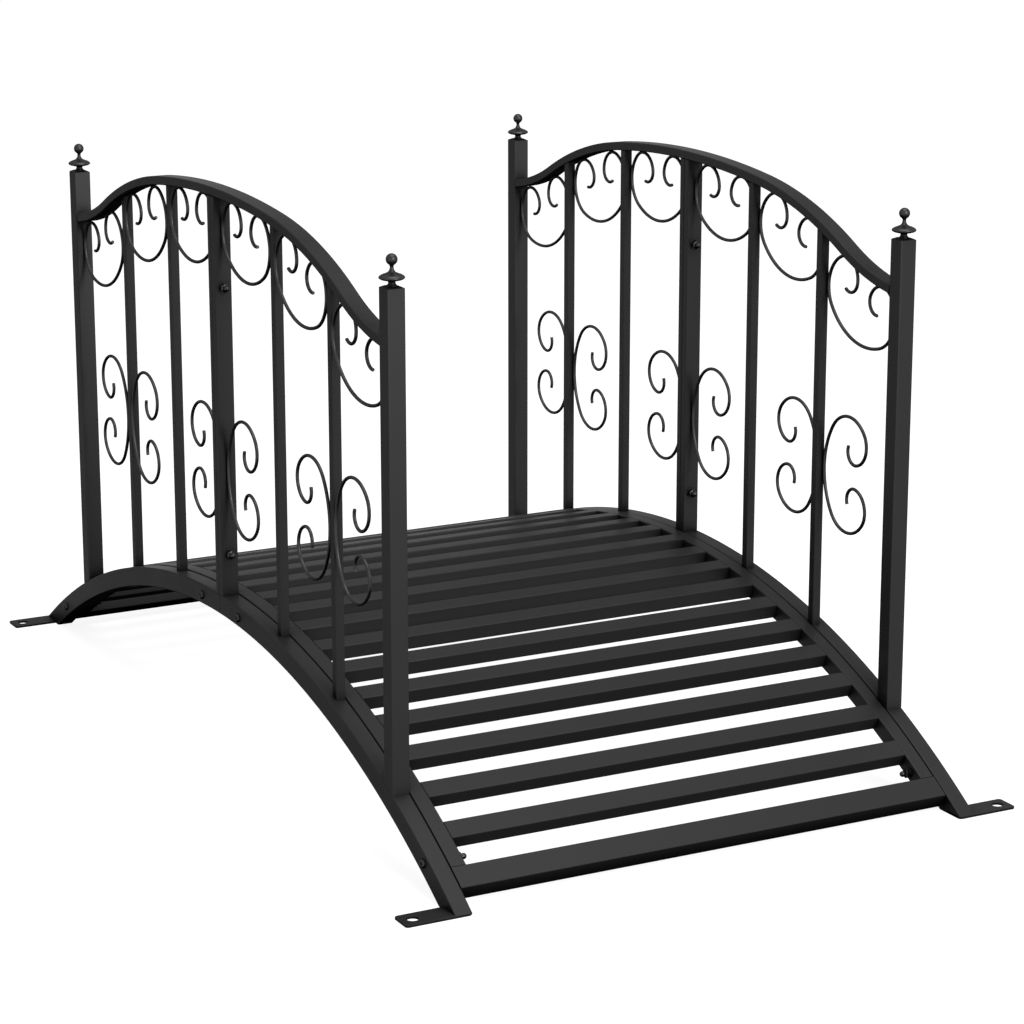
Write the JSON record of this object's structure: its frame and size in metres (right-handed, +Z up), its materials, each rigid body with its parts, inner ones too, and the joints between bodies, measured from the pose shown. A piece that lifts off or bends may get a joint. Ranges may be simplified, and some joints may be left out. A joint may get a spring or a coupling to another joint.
{
  "type": "moon bridge",
  "caption": "Arched garden bridge of black steel tube: a slatted walking deck between two railings with scrolls and ball finials, on foot plates with fixing holes.",
  "frame": {"origin": "on the ground under the middle of the bridge", "axes": "+X along the walk, +Y across it, +Z up"},
  "size_m": [1.229, 0.76, 0.6706],
  "materials": {
    "beam_steel": "matte black powder coat",
    "slat_steel": "matte black powder coat",
    "plate_steel": "matte black powder coat",
    "rail_steel": "matte black powder coat",
    "finial_steel": "matte black powder coat",
    "scroll_steel": "matte black powder coat"
  },
  "bodies": {
    "root": {"left_deck_beam": "beam_steel", "right_deck_beam": "beam_steel", "near_slats": "slat_steel", "far_slats": "slat_steel", "near_end_slat": "slat_steel", "far_end_slat": "slat_steel", "left_near_side_beam": "beam_steel", "left_far_side_beam": "beam_steel", "right_near_side_beam": "beam_steel", "right_far_side_beam": "beam_steel", "left_near_foot_plate": "plate_steel", "left_far_foot_plate": "plate_steel", "right_near_foot_plate": "plate_steel", "right_far_foot_plate": "plate_steel", "left_near_end_post": "rail_steel", "left_far_end_post": "rail_steel", "right_near_end_post": "rail_steel", "right_far_end_post": "rail_steel", "left_near_finial": "finial_steel", "left_far_finial": "finial_steel", "right_near_finial": "finial_steel", "right_far_finial": "finial_steel", "left_near_centre_post": "rail_steel", "left_far_centre_post": "rail_steel", "right_near_centre_post": "rail_steel", "right_far_centre_post": "rail_steel", "left_near_balusters": "rail_steel", "left_far_balusters": "rail_steel", "right_near_balusters": "rail_steel", "right_far_balusters": "rail_steel", "left_near_top_rail": "rail_steel", "left_far_top_rail": "rail_steel", "right_near_top_rail": "rail_steel", "right_far_top_rail": "rail_steel", "left_near_top_scrolls": "scroll_steel", "left_far_top_scrolls": "scroll_steel", "right_near_top_scrolls": "scroll_steel", "right_far_top_scrolls": "scroll_steel", "left_near_side_scrolls": "scroll_steel", "left_far_side_scrolls": "scroll_steel", "right_near_side_scrolls": "scroll_steel", "right_far_side_scrolls": "scroll_steel"}
  },
  "joints": []
}
